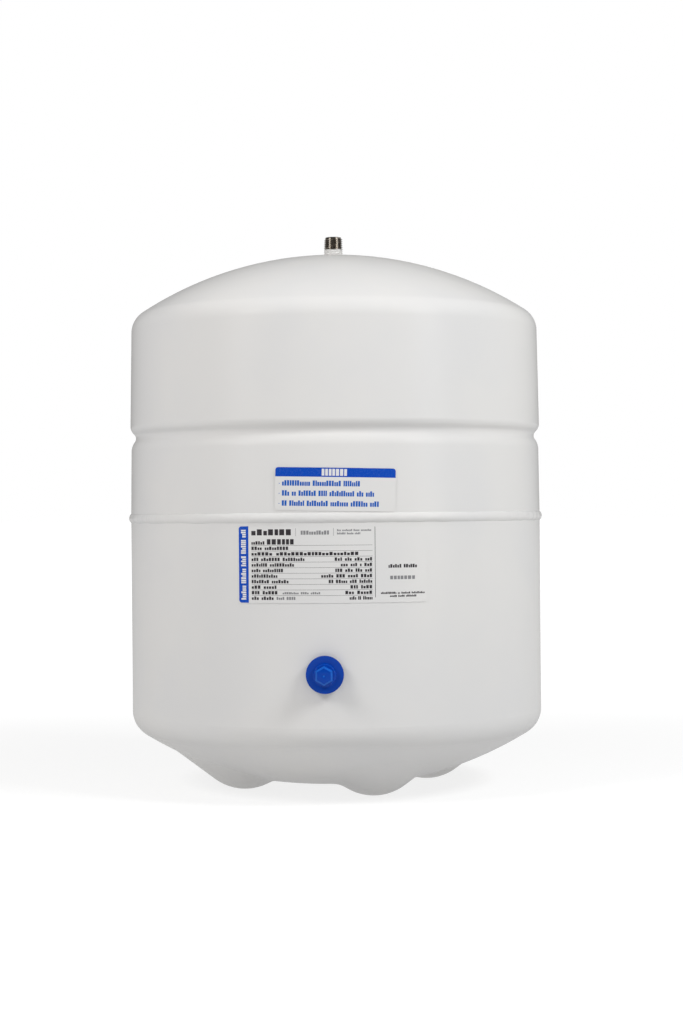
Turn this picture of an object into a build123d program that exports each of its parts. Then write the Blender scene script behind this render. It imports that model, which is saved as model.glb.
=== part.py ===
from build123d import *
import os
from math import asin, atan2, cos, degrees, hypot, radians, sin, sqrt, tan

os.makedirs("parts", exist_ok=True)

# Reverse osmosis storage tank: a welded steel pressure vessel that stands on four feet
# pressed into its bottom. Water enters through a threaded nipple at the top and fills the
# space between a plastic liner and a rubber diaphragm. Air under the diaphragm, charged
# through a tyre-type valve behind a screw cap, pushes the water out again.
# Frame: millimetres, +Z up, origin on the tank's axis at the floor, air valve towards -Y.

# Steel body
body_radius = 145.0
wall = 1.0
fit_gap = 0.1

# Upper half: crowned top, knuckle, slightly drafted side and the rolled groove
dome_top = 374.5
dome_radius = 248.6
dome_knuckle_radius = 16.0
shoulder_inset = 1.2
groove_height = 244.8
groove_depth = 3.8
groove_rise = 10.2
groove_fall = 11.8
groove_lip_radius = 2.5
groove_floor_radius = 4.0
groove_return_radius = 14.0

# Seam: the lower half's rim is stepped in, slides up inside the upper half and is welded
seam_height = 190.0
joggle_length = 2.8
joggle_margin = 0.4
lap_length = 12.0
weld_width = 6.6
weld_drop = 0.8
weld_bulge = 1.5

# Lower half: dished bottom with its middle pressed flat, and four pressed feet
bottom_radius = 258.0
bottom_low_point = -0.9
bottom_knuckle_radius = 18.0
flat_height = 6.0
flat_blend_radius = 60.0
foot_count = 4
foot_edge_distance = 76.0
foot_turn = 23.9
foot_pad_radius = 6.5
foot_tip_radius = 36.0
foot_flank_angle = 37.5
foot_root_radius = 20.0
foot_headroom = 3.0

# Water connection: stainless nipple, 1/4 inch pipe thread outside
thread_radius = 6.858
nipple_height = 13.8
nipple_chamfer = 1.1
nipple_bore_radius = 4.6
shank_radius = 6.2
thread_start = 1.2
flange_radius = 14.0
flange_thickness = 3.5
seal_recess_radius = 7.4
seal_recess_depth = 1.9
connection_weld_width = 2.2
connection_weld_height = 0.9

# Liner, diaphragm and clench ring, nested inside the upper half
liner_wall = 1.5
liner_rim_height = 227.0
flange_clearance = 0.5
neck_radius = 4.4
neck_wall = 1.0
neck_height = 4.0
diaphragm_wall = 2.0
diaphragm_drop = 5.0
bead_radius = 2.5
ring_wall = 1.2
ring_rise = 12.0
ring_fall = 13.0

# Air valve, measured outwards from the skin at the valve
valve_height = 88.5
stem_radius = 3.85
stem_length = 13.2
stem_inner_length = 8.0
stem_chamfer = 0.5
stem_shank_radius = 4.3
collar_radius = 7.2
collar_height = 1.8
valve_weld_width = 1.8
valve_weld_height = 1.0
core_bore_radius = 2.65
air_bore_radius = 2.1
seat_depth = 6.6
seat_length = 1.2

# Valve core: barrel, seal, pin, return spring and the cup that closes the air way
core_gap = 0.05
barrel_radius = 2.55
barrel_inset = 0.8
barrel_length = 9.8
barrel_neck_radius = 1.9
barrel_nose_radius = 1.75
barrel_seal_length = 1.9
barrel_seal_rise = 0.3
driver_slot_width = 1.6
driver_slot_depth = 1.4
spring_bore_radius = 1.35
spring_bore_depth = 7.2
spring_wire_radius = 0.15
spring_coil_radius = 0.93
spring_turns = 6
pin_radius = 0.5
pin_bore_radius = 0.75
pin_inset = 0.6
pin_head_radius = 1.15
pin_head_thickness = 0.5
pin_head_inset = 1.5
rivet_radius = 0.9
rivet_height = 0.6
core_seal_radius = 1.5
core_seal_thickness = 0.9
cup_wall = 0.25
cup_floor = 0.6
cup_depth = 0.5

# Screw cap of blue plastic and its sealing ring
thread_gap = 0.1
cap_standoff = 2.6
cap_flange_radius = 12.25
cap_flange_thickness = 2.2
cap_flange_rise = 0.6
cap_flange_edge_radius = 0.5
cap_boss_radius = 7.35
cap_boss_height = 2.6
cap_boss_round = 1.2
hex_across_flats = 11.0
hex_chamfer = 0.9
cap_end_wall = 1.2
cap_tip_gap = 0.5
gate_mark_radius = 0.9
gate_mark_height = 0.15
cap_ring_section = 1.5
cap_ring_radius = 5.1
cap_ring_gap = 0.05

# Two clear labels on the front, each centred at an angle from the valve, a gap from the weld
label_thickness = 0.15
label_bond = 0.1
upper_label_turn = 2.95
upper_label_width = 78.2
upper_label_height = 28.0
upper_label_gap = 1.1
upper_label_tilt = -1.2
lower_label_turn = 2.15
lower_label_width = 123.0
lower_label_height = 50.0
lower_label_gap = 1.6
label_corner_radius = 2.0

# Levels that several pieces share
crown_centre = dome_top - dome_radius
lip_height = groove_height + groove_rise
return_height = groove_height - groove_fall
joggle_end = seam_height - joggle_margin
joggle_start = joggle_end - joggle_length
weld_middle = seam_height - weld_drop
lap_radius = body_radius - wall - fit_gap
foot_ring_radius = body_radius - foot_edge_distance
liner_outset = wall + fit_gap
liner_inset = liner_outset + liner_wall
diaphragm_outset = liner_inset + fit_gap
diaphragm_inset = diaphragm_outset + diaphragm_wall
ring_outset = diaphragm_inset + fit_gap
ring_inset = ring_outset + ring_wall
ring_bottom = groove_height - ring_fall

# A cut that passes right through a piece, and how closely a point is matched to its level
through = 3 * body_radius
level_match = 0.001


def crown_level(radius, inset=0.0):
    """Height of the crowned top at a distance from the axis, moved in by inset."""
    return crown_centre + sqrt((dome_radius - inset) ** 2 - radius**2)


def upper_space(inset, low, drop=0.0):
    """Half section inside the upper skin: moved in by inset, cut at low, its top lowered by drop."""
    knuckle_out = body_radius - shoulder_inset - dome_knuckle_radius
    centre = crown_centre - drop
    knuckle_up = centre + sqrt((dome_radius - dome_knuckle_radius) ** 2 - knuckle_out**2)
    # The side runs from the groove's lip as a tangent to the knuckle
    reach = hypot(knuckle_out - body_radius, knuckle_up - lip_height)
    side_angle = degrees(
        atan2(knuckle_up - lip_height, knuckle_out - body_radius) - asin(dome_knuckle_radius / reach)
    )
    crown_end = degrees(atan2(knuckle_up - centre, knuckle_out))
    with BuildSketch() as space:
        with BuildLine() as skin:
            CenterArc((0, centre), dome_radius, 90, crown_end - 90)
            knuckle = CenterArc(
                (knuckle_out, knuckle_up), dome_knuckle_radius, crown_end, side_angle - 90 - crown_end
            )
            Polyline(
                knuckle @ 1,
                (body_radius, lip_height),
                (body_radius - groove_depth, groove_height),
                (body_radius, return_height),
                (body_radius, seam_height),
            )
            for height, radius in (
                (lip_height, groove_lip_radius),
                (groove_height, groove_floor_radius),
                (return_height, groove_return_radius),
            ):
                corner = skin.vertices().filter_by_position(Axis.Y, height - level_match, height + level_match)
                fillet(corner, radius)
            if inset:
                offset(amount=inset, side=Side.RIGHT, closed=False, mode=Mode.REPLACE)
            ends = skin.vertices().sort_by(Axis.Y)
            Polyline(ends[0], (0, ends[0].Y), (0, ends[-1].Y), ends[-1])
        make_face()
        with Locations((0, low)):
            Rectangle(through, through, align=(Align.CENTER, Align.MAX), mode=Mode.SUBTRACT)
    return space.sketch


def foot_lobe(inset, top):
    """One foot about its own axis, moved in by inset: flat pad, round tip, sloping flank."""
    slope = radians(foot_flank_angle)
    tip_centre = sqrt(foot_tip_radius**2 - foot_pad_radius**2)
    tip = foot_tip_radius - inset
    pad = sqrt(tip**2 - (tip_centre - inset) ** 2)
    pad_end = degrees(atan2(inset - tip_centre, pad))
    with BuildPart() as lobe:
        with BuildSketch(Plane.XZ):
            with BuildLine():
                curve = CenterArc((0, tip_centre), tip, pad_end, foot_flank_angle - 90 - pad_end)
                edge = curve @ 1
                Polyline(edge, (edge.X + (top - edge.Y) / tan(slope), top), (0, top), (0, inset), curve @ 0)
            make_face()
        revolve(axis=Axis.Z)
    return lobe.part


def bowl(inset):
    """The lower half as a solid bowl with its feet, moved in by inset."""
    centre = bottom_low_point + bottom_radius
    knuckle_out = body_radius - bottom_knuckle_radius
    knuckle_up = centre - sqrt((bottom_radius - bottom_knuckle_radius) ** 2 - knuckle_out**2)
    dish = bottom_radius - inset
    dish_end = degrees(atan2(knuckle_up - centre, knuckle_out))
    flat = flat_height + inset
    flat_out = sqrt(dish**2 - (centre - flat) ** 2)
    flat_end = degrees(atan2(flat - centre, flat_out))
    lobe = foot_lobe(inset, centre + dish * sin(radians(dish_end)) - foot_headroom)
    with BuildPart() as form:
        with BuildSketch(Plane.XZ) as section:
            with BuildLine():
                CenterArc((knuckle_out, knuckle_up), bottom_knuckle_radius - inset, 0, dish_end)
                CenterArc((0, centre), dish, dish_end, flat_end - dish_end)
                Polyline(
                    (flat_out, flat),
                    (0, flat),
                    (0, joggle_start),
                    (body_radius - inset, joggle_start),
                    (body_radius - inset, knuckle_up),
                )
            make_face()
            blend = section.vertices().sort_by_distance((flat_out, flat, 0))[0]
            fillet(blend, flat_blend_radius - inset)
        revolve(axis=Axis.Z)
        # Each lobe's seam is turned inwards, away from where its flank grazes the dish
        with PolarLocations(foot_ring_radius, foot_count, start_angle=foot_turn - 90):
            add(lobe, rotation=(0, 0, 180))
        fillet(form.edges(Select.NEW), foot_root_radius + inset)
    return form.part


def wall_section(outset, inset, low, drop=0.0):
    """Half section of a wall between two distances inside the upper skin."""
    outside = upper_space(outset, low, drop)
    inside = upper_space(inset, low, drop)
    with BuildSketch() as section:
        add(outside)
        add(inside, mode=Mode.SUBTRACT)
    return section.sketch


# Levels around the water connection
flange_top = crown_level(flange_radius, wall)
flange_bottom = flange_top - flange_thickness
pocket_floor = flange_bottom - fit_gap
pocket_radius = flange_radius + flange_clearance
connection_top = dome_top + nipple_height
thread_bottom = dome_top + thread_start

# Levels along the air valve, measured outwards from the skin
valve_face = Plane(origin=(0, -body_radius, valve_height), x_dir=(1, 0, 0), z_dir=(0, -1, 0))
valve_section = Plane(origin=(0, -body_radius, valve_height), x_dir=(1, 0, 0), z_dir=(0, 0, -1))
valve_axis = Axis((0, -body_radius, valve_height), (0, -1, 0))
seat_top = stem_length - seat_depth
seat_bottom = seat_top - seat_length
barrel_top = stem_length - barrel_inset
barrel_bottom = barrel_top - barrel_length
seal_bottom = seat_bottom + barrel_seal_rise
seal_top = seal_bottom + barrel_seal_length
spring_floor = barrel_top - spring_bore_depth
pin_top = stem_length - pin_inset
head_bottom = stem_length - pin_head_inset - pin_head_thickness
core_seal_bottom = barrel_bottom - core_gap - core_seal_thickness
cup_floor_top = core_seal_bottom - core_gap
rivet_top = cup_floor_top - cup_floor - core_gap
cap_end = stem_length + cap_tip_gap + cap_end_wall
ring_seat = collar_height + 2 * cap_ring_gap + cap_ring_section


def saddle(radius):
    """How far the round body falls away from its front at a distance from the valve's axis."""
    return body_radius - sqrt(body_radius**2 - radius**2)


# Upper half of the steel body: drawn dome, rolled groove, hole for the nipple
upper_wall = wall_section(0.0, wall, seam_height)
with BuildPart() as upper_shell:
    with BuildSketch(Plane.XZ):
        add(upper_wall)
        with Locations((0, dome_top)):
            Rectangle(2 * (shank_radius + fit_gap), body_radius, mode=Mode.SUBTRACT)
    revolve(axis=Axis.Z)
upper_shell.part.label = "upper_shell"
export_step(upper_shell.part, "parts/upper_shell.step")

# Lower half: pressed bowl with four feet, stepped rim that slides into the upper half
bowl_outside = bowl(0.0)
bowl_inside = bowl(wall)
with BuildPart() as lower_shell:
    add(bowl_outside)
    add(bowl_inside, mode=Mode.SUBTRACT)
    with BuildSketch(Plane.XZ):
        with BuildLine():
            Polyline(
                (body_radius, joggle_start),
                (lap_radius, joggle_end),
                (lap_radius, seam_height + lap_length),
                (lap_radius - wall, seam_height + lap_length),
                (lap_radius - wall, joggle_end),
                (body_radius - wall, joggle_start),
                close=True,
            )
        make_face()
    revolve(axis=Axis.Z)
    with BuildSketch(valve_face):
        Circle(stem_shank_radius + fit_gap)
    extrude(amount=-body_radius, mode=Mode.SUBTRACT)
lower_shell.part.label = "lower_shell"
export_step(lower_shell.part, "parts/lower_shell.step")

# Weld bead that fills the step between the two halves and stands proud of the skin
with BuildPart() as girth_weld:
    with BuildSketch(Plane.XZ):
        with BuildLine():
            steps = Polyline(
                (body_radius, weld_middle - weld_width / 2),
                (body_radius, joggle_start),
                (lap_radius, joggle_end),
                (lap_radius, seam_height),
                (body_radius, seam_height),
                (body_radius, weld_middle + weld_width / 2),
            )
            ThreePointArc(steps @ 1, (body_radius + weld_bulge, weld_middle), steps @ 0)
        make_face()
    revolve(axis=Axis.Z)
girth_weld.part.label = "girth_weld"
export_step(girth_weld.part, "parts/girth_weld.step")

# Water connection: turned nipple, its flange under the dome and its thread outside
with BuildPart() as water_connection:
    with BuildSketch(Plane.XZ):
        with BuildLine():
            Polyline(
                (nipple_bore_radius, connection_top),
                (thread_radius - nipple_chamfer, connection_top),
                (thread_radius, connection_top - nipple_chamfer),
                (thread_radius, thread_bottom + thread_radius - shank_radius),
                (shank_radius, thread_bottom),
                (shank_radius, flange_top),
                (flange_radius, flange_top),
                (flange_radius, flange_bottom),
                (seal_recess_radius, flange_bottom),
                (seal_recess_radius, flange_bottom + seal_recess_depth),
                (nipple_bore_radius, flange_bottom + seal_recess_depth),
                close=True,
            )
        make_face()
    revolve(axis=Axis.Z)
water_connection.part.label = "water_connection"
export_step(water_connection.part, "parts/water_connection.step")

# Fillet weld round the foot of the nipple
dome_solid_section = upper_space(0.0, seam_height)
with BuildPart() as connection_weld:
    with BuildSketch(Plane.XZ):
        with BuildLine():
            Polyline(
                (shank_radius, flange_top),
                (shank_radius, dome_top + connection_weld_height),
                (shank_radius + connection_weld_width, crown_level(shank_radius + connection_weld_width)),
                (shank_radius + connection_weld_width, flange_top),
                close=True,
            )
        make_face()
        add(dome_solid_section, mode=Mode.SUBTRACT)
    revolve(axis=Axis.Z)
connection_weld.part.label = "connection_weld"
export_step(connection_weld.part, "parts/connection_weld.step")

# Rubber ring that seals the liner's neck in the nipple
with BuildPart() as connection_o_ring:
    with BuildSketch(Plane.XZ):
        with Locations(((neck_radius + seal_recess_radius) / 2, flange_bottom + (seal_recess_depth - fit_gap) / 2)):
            Circle(seal_recess_depth / 2)
    revolve(axis=Axis.Z)
connection_o_ring.part.label = "connection_o_ring"
export_step(connection_o_ring.part, "parts/connection_o_ring.step")

# Plastic liner of the water side: follows the dome, with a pocket round the nipple's flange
liner_section = wall_section(liner_outset, liner_inset, liner_rim_height)
with BuildPart() as water_liner:
    with BuildSketch(Plane.XZ):
        add(liner_section)
        with Locations((0, dome_top)):
            Rectangle(2 * pocket_radius, body_radius, mode=Mode.SUBTRACT)
        with BuildLine():
            Polyline(
                (pocket_radius, crown_level(pocket_radius + liner_wall, liner_outset)),
                (pocket_radius, pocket_floor),
                (neck_radius, pocket_floor),
                (neck_radius, dome_top + neck_height),
                (neck_radius - neck_wall, dome_top + neck_height),
                (neck_radius - neck_wall, pocket_floor - liner_wall),
                (pocket_radius + liner_wall, pocket_floor - liner_wall),
                (pocket_radius + liner_wall, crown_level(pocket_radius + liner_wall, liner_outset)),
                close=True,
            )
        make_face()
    revolve(axis=Axis.Z)
water_liner.part.label = "water_liner"
export_step(water_liner.part, "parts/water_liner.step")

# Rubber diaphragm, pressed up against the liner by the air charge, its bead under the ring
diaphragm_section = wall_section(diaphragm_outset, diaphragm_inset, liner_rim_height, diaphragm_drop)
with BuildPart() as diaphragm:
    with BuildSketch(Plane.XZ):
        add(diaphragm_section)
        with Locations((body_radius - diaphragm_outset - bead_radius, liner_rim_height)):
            Circle(bead_radius)
    revolve(axis=Axis.Z)
diaphragm.part.label = "diaphragm"
export_step(diaphragm.part, "parts/diaphragm.step")

# Steel ring that clenches the diaphragm and the liner into the groove
ring_section = wall_section(ring_outset, ring_inset, ring_bottom)
with BuildPart() as clench_ring:
    with BuildSketch(Plane.XZ):
        add(ring_section)
        with Locations((0, groove_height + ring_rise)):
            Rectangle(through, through, align=(Align.CENTER, Align.MIN), mode=Mode.SUBTRACT)
    revolve(axis=Axis.Z)
clench_ring.part.label = "clench_ring"
export_step(clench_ring.part, "parts/clench_ring.step")

# Air valve stem: brass, its collar saddled to the round body and its shank through the wall
with BuildPart() as valve_stem:
    with BuildSketch(valve_section):
        with Locations((0, -saddle(collar_radius))):
            Rectangle(
                collar_radius, collar_height + saddle(collar_radius), align=(Align.MIN, Align.MIN)
            )
    revolve(axis=valve_axis)
    with Locations((0, 0, valve_height)):
        Cylinder(body_radius, through, mode=Mode.SUBTRACT)
    with BuildSketch(valve_section):
        with BuildLine():
            Polyline(
                (0, -stem_inner_length),
                (stem_shank_radius, -stem_inner_length),
                (stem_shank_radius, collar_height / 2),
                (stem_radius, collar_height / 2),
                (stem_radius, stem_length - stem_chamfer),
                (stem_radius - stem_chamfer, stem_length),
                (0, stem_length),
                close=True,
            )
        make_face()
    revolve(axis=valve_axis)
    with BuildSketch(valve_section):
        with BuildLine():
            Polyline(
                (0, -stem_inner_length),
                (air_bore_radius, -stem_inner_length),
                (air_bore_radius, seat_bottom),
                (core_bore_radius, seat_top),
                (core_bore_radius, stem_length),
                (0, stem_length),
                close=True,
            )
        make_face()
    revolve(axis=valve_axis, mode=Mode.SUBTRACT)
valve_stem.part.label = "valve_stem"
export_step(valve_stem.part, "parts/valve_stem.step")

# Weld round the valve's collar
valve_weld_radius = collar_radius + valve_weld_width
with BuildPart() as valve_weld:
    with BuildSketch(valve_section):
        with BuildLine():
            Polyline(
                (collar_radius, -saddle(valve_weld_radius)),
                (collar_radius, valve_weld_height),
                (valve_weld_radius, -saddle(valve_weld_radius) / 2),
                (valve_weld_radius, -saddle(valve_weld_radius)),
                close=True,
            )
        make_face()
    revolve(axis=valve_axis)
    with Locations((0, 0, valve_height)):
        Cylinder(body_radius, through, mode=Mode.SUBTRACT)
valve_weld.part.label = "valve_weld"
export_step(valve_weld.part, "parts/valve_weld.step")

# Valve core barrel: screws into the stem, slotted for the core key, bored for pin and spring
with BuildPart() as core_barrel:
    with BuildSketch(valve_section):
        with BuildLine():
            Polyline(
                (pin_bore_radius, barrel_bottom),
                (barrel_nose_radius, barrel_bottom),
                (barrel_nose_radius, seat_bottom),
                (barrel_neck_radius, seat_bottom),
                (barrel_neck_radius, seal_top + core_gap),
                (barrel_radius, seal_top + core_gap),
                (barrel_radius, barrel_top),
                (spring_bore_radius, barrel_top),
                (spring_bore_radius, spring_floor),
                (pin_bore_radius, spring_floor),
                close=True,
            )
        make_face()
    revolve(axis=valve_axis)
    with BuildSketch(valve_face.offset(barrel_top)):
        Rectangle(through, driver_slot_width)
    extrude(amount=-driver_slot_depth, mode=Mode.SUBTRACT)
core_barrel.part.label = "core_barrel"
export_step(core_barrel.part, "parts/core_barrel.step")

# Soft ring round the barrel's neck that seals it on the stem's seat
seat_slope = (core_bore_radius - air_bore_radius) / seat_length
seal_bottom_radius = air_bore_radius + barrel_seal_rise * seat_slope - core_gap
with BuildPart() as core_barrel_seal:
    with BuildSketch(valve_section):
        with BuildLine():
            Polyline(
                (barrel_neck_radius + core_gap, seal_bottom),
                (seal_bottom_radius, seal_bottom),
                (core_bore_radius - core_gap, seat_top),
                (core_bore_radius - core_gap, seal_top),
                (barrel_neck_radius + core_gap, seal_top),
                close=True,
            )
        make_face()
    revolve(axis=valve_axis)
core_barrel_seal.part.label = "core_barrel_seal"
export_step(core_barrel_seal.part, "parts/core_barrel_seal.step")

# Pin: pressed in from outside, with a head for the spring and riveted over under the cup
with BuildPart() as core_pin:
    with BuildSketch(valve_section):
        with BuildLine():
            Polyline(
                (0, rivet_top - rivet_height),
                (rivet_radius, rivet_top - rivet_height),
                (rivet_radius, rivet_top),
                (pin_radius, rivet_top),
                (pin_radius, head_bottom),
                (pin_head_radius, head_bottom),
                (pin_head_radius, head_bottom + pin_head_thickness),
                (pin_radius, head_bottom + pin_head_thickness),
                (pin_radius, pin_top),
                (0, pin_top),
                close=True,
            )
        make_face()
    revolve(axis=valve_axis)
core_pin.part.label = "core_pin"
export_step(core_pin.part, "parts/core_pin.step")

# Return spring, coiled from the barrel's floor to the pin's head
spring_start = spring_floor + core_gap + spring_wire_radius
spring_height = head_bottom - core_gap - spring_wire_radius - spring_start
with BuildPart() as core_spring:
    with BuildLine():
        coil = Helix(
            pitch=spring_height / spring_turns,
            height=spring_height,
            radius=spring_coil_radius,
            center=valve_face.from_local_coords((0, 0, spring_start)),
            direction=(0, -1, 0),
        )
    with BuildSketch(Plane(origin=coil @ 0, z_dir=coil % 0)):
        Circle(spring_wire_radius)
    sweep()
core_spring.part.label = "core_spring"
export_step(core_spring.part, "parts/core_spring.step")

# Cup at the pin's inner end, and the rubber washer in it that closes the barrel's mouth
with BuildPart() as core_cup:
    with BuildSketch(valve_section):
        with BuildLine():
            Polyline(
                (pin_radius + core_gap, cup_floor_top - cup_floor),
                (core_seal_radius + core_gap + cup_wall, cup_floor_top - cup_floor),
                (core_seal_radius + core_gap + cup_wall, cup_floor_top + cup_depth),
                (core_seal_radius + core_gap, cup_floor_top + cup_depth),
                (core_seal_radius + core_gap, cup_floor_top),
                (pin_radius + core_gap, cup_floor_top),
                close=True,
            )
        make_face()
    revolve(axis=valve_axis)
core_cup.part.label = "core_cup"
export_step(core_cup.part, "parts/core_cup.step")

with BuildPart() as core_seal:
    with BuildSketch(valve_face.offset(core_seal_bottom)):
        Circle(core_seal_radius)
        Circle(pin_radius + core_gap, mode=Mode.SUBTRACT)
    extrude(amount=core_seal_thickness)
core_seal.part.label = "core_seal"
export_step(core_seal.part, "parts/core_seal.step")

# Screw cap: flange over the valve's foot, round boss, hexagon for a key, blind bore
cap_bore_radius = stem_radius + thread_gap
ring_recess_radius = cap_ring_radius + cap_ring_section / 2 + 2 * cap_ring_gap
flange_front = cap_standoff + cap_flange_thickness
boss_top = flange_front + cap_flange_rise + cap_boss_height
with BuildPart() as valve_cap:
    with BuildSketch(valve_section):
        with BuildLine():
            Polyline(
                (0, cap_standoff),
                (cap_flange_radius, cap_standoff),
                (cap_flange_radius, flange_front),
                (cap_boss_radius, flange_front + cap_flange_rise),
                (cap_boss_radius, boss_top),
                (0, boss_top),
                close=True,
            )
        make_face()
    revolve(axis=valve_axis)
    rims = valve_cap.edges().filter_by(GeomType.CIRCLE).sort_by(SortBy.RADIUS)
    fillet(rims[-2:], cap_flange_edge_radius)
    fillet(valve_cap.edges().filter_by(GeomType.CIRCLE).sort_by(Axis.Y)[0], cap_boss_round)
    with BuildSketch(valve_face.offset(flange_front)):
        RegularPolygon(hex_across_flats / 2, 6, major_radius=False, rotation=90)
    extrude(amount=cap_end - flange_front)
    chamfer(valve_cap.faces().sort_by(Axis.Y)[0].edges(), hex_chamfer)
    with BuildSketch(valve_face.offset(cap_end)):
        Circle(gate_mark_radius)
    extrude(amount=-gate_mark_height, mode=Mode.SUBTRACT)
    with BuildSketch(valve_section):
        with BuildLine():
            Polyline(
                (0, cap_standoff),
                (ring_recess_radius, cap_standoff),
                (ring_recess_radius, ring_seat),
                (cap_bore_radius, ring_seat),
                (cap_bore_radius, cap_end - cap_end_wall),
                (0, cap_end - cap_end_wall),
                close=True,
            )
        make_face()
    revolve(axis=valve_axis, mode=Mode.SUBTRACT)
valve_cap.part.label = "valve_cap"
export_step(valve_cap.part, "parts/valve_cap.step")

# Sealing ring between the cap and the valve's collar
with BuildPart() as cap_o_ring:
    with BuildSketch(valve_section):
        with Locations((cap_ring_radius, collar_height + cap_ring_gap + cap_ring_section / 2)):
            Circle(cap_ring_section / 2)
    revolve(axis=valve_axis)
cap_o_ring.part.label = "cap_o_ring"
export_step(cap_o_ring.part, "parts/cap_o_ring.step")


def label_film(turn, middle, width, height, tilt):
    """Film on the round body: centred at an angle from the valve and a height, size as seen square on."""
    facing = Plane(
        origin=(0, 0, middle),
        x_dir=(cos(radians(turn)), sin(radians(turn)), 0),
        z_dir=(sin(radians(turn)), -cos(radians(turn)), 0),
    )
    with BuildPart() as film:
        with BuildSketch(facing):
            RectangleRounded(width, height, label_corner_radius, rotation=tilt)
        extrude(amount=body_radius + 2 * label_thickness)
        with BuildSketch():
            Circle(body_radius + label_bond + label_thickness)
            Circle(body_radius + label_bond, mode=Mode.SUBTRACT)
        extrude(amount=dome_top, mode=Mode.INTERSECT)
    return film.part


# Label above the seam, put on slightly crooked
upper_label_middle = weld_middle + weld_width / 2 + upper_label_gap + upper_label_height / 2
upper_film = label_film(
    upper_label_turn, upper_label_middle, upper_label_width, upper_label_height, upper_label_tilt
)
with BuildPart() as upper_label:
    add(upper_film)
upper_label.part.label = "upper_label"
export_step(upper_label.part, "parts/upper_label.step")

# Label below the seam
lower_label_middle = weld_middle - weld_width / 2 - lower_label_gap - lower_label_height / 2
lower_film = label_film(lower_label_turn, lower_label_middle, lower_label_width, lower_label_height, 0)
with BuildPart() as lower_label:
    add(lower_film)
lower_label.part.label = "lower_label"
export_step(lower_label.part, "parts/lower_label.step")
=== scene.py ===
import bpy
import random
from math import acos, atan2, cos, degrees, hypot, pi, radians, sin, sqrt, tan
from mathutils import Matrix, Vector, noise


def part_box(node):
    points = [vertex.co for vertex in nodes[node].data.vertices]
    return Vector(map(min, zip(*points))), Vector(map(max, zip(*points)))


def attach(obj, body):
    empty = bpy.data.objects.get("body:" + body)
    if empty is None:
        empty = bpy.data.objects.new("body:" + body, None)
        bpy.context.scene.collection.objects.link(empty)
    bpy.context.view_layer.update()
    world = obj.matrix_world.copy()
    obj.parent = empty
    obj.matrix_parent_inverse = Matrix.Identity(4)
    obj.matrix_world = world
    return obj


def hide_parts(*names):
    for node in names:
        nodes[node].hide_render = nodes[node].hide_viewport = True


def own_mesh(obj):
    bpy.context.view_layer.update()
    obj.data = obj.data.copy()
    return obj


# Looks of the reverse osmosis storage tank, in metres, in the frame of the CAD model:
# +Z up, origin on the tank's axis at the floor, air valve towards -Y.
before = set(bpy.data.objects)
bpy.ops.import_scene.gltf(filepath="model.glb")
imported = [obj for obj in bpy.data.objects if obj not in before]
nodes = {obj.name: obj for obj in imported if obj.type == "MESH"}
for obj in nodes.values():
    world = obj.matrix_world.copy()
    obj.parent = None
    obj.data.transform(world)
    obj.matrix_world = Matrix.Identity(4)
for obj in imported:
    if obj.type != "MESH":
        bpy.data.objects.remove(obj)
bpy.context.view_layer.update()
MM = 0.001

# Two steel pressings: the drawn dome with its rolled groove, and the bowl with its four feet.
# They are powder coated in one coat of white, with faint orange peel and a speck here and there.
body_radius = 145.0 * MM
wall = 1.0 * MM
dome_top = 374.5 * MM
dome_radius = 248.6 * MM
knuckle_radius = 16.0 * MM
shoulder_inset = 1.2 * MM
shank_hole = 6.3 * MM
groove_height = 245.6 * MM
groove_depth = 3.8 * MM
groove_floor_radius = 4.0 * MM
lip_radius = 7.0 * MM
lip_slope = 42
return_radius = 12.0 * MM
return_slope = 34
neck_inset = 0.6 * MM
seam_height = 190.0 * MM
shell_steps = 256
dome_steps, knuckle_steps, lip_steps, groove_steps, return_steps = 60, 18, 14, 12, 16
paint_white = (0.80, 0.79, 0.775, 1)
paint_shade = (0.775, 0.77, 0.765, 1)
tone_size = 90 * MM
sheen_size = 25 * MM
sheen_low, sheen_range = 0.2, 0.08
peel_size = 1.6 * MM
peel_depth = 0.006 * MM
wave_size = 14 * MM
wave_depth = 0.012 * MM
speck_color = (0.30, 0.28, 0.26, 1)
speck_strength = 0.7
speck_spacing = 42 * MM
speck_radius = 0.35 * MM


class Value:
    """A socket of a material's nodes. Sums on it add Math nodes."""

    def __init__(self, socket):
        self.socket = socket

    def math(self, operation, first, second=0.0):
        return add_node(
            self.socket.id_data, "ShaderNodeMath", {"operation": operation}, {0: first, 1: second}
        )

    def __add__(self, other):
        return self.math("ADD", self, other)

    def __radd__(self, other):
        return self.math("ADD", other, self)

    def __sub__(self, other):
        return self.math("SUBTRACT", self, other)

    def __rsub__(self, other):
        return self.math("SUBTRACT", other, self)

    def __mul__(self, other):
        return self.math("MULTIPLY", self, other)

    def __rmul__(self, other):
        return self.math("MULTIPLY", other, self)

    def __lt__(self, other):
        return self.math("LESS_THAN", self, other)


def add_node(tree, kind, settings, sockets, output=0):
    """Adds one node: its settings first, then the values or links of its sockets."""
    made = tree.nodes.new(kind)
    for name, setting in settings.items():
        setattr(made, name, setting)
    for name, content in sockets.items():
        if isinstance(content, Value):
            tree.links.new(content.socket, made.inputs[name])
        else:
            made.inputs[name].default_value = content
    return Value(made.outputs[output])


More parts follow.
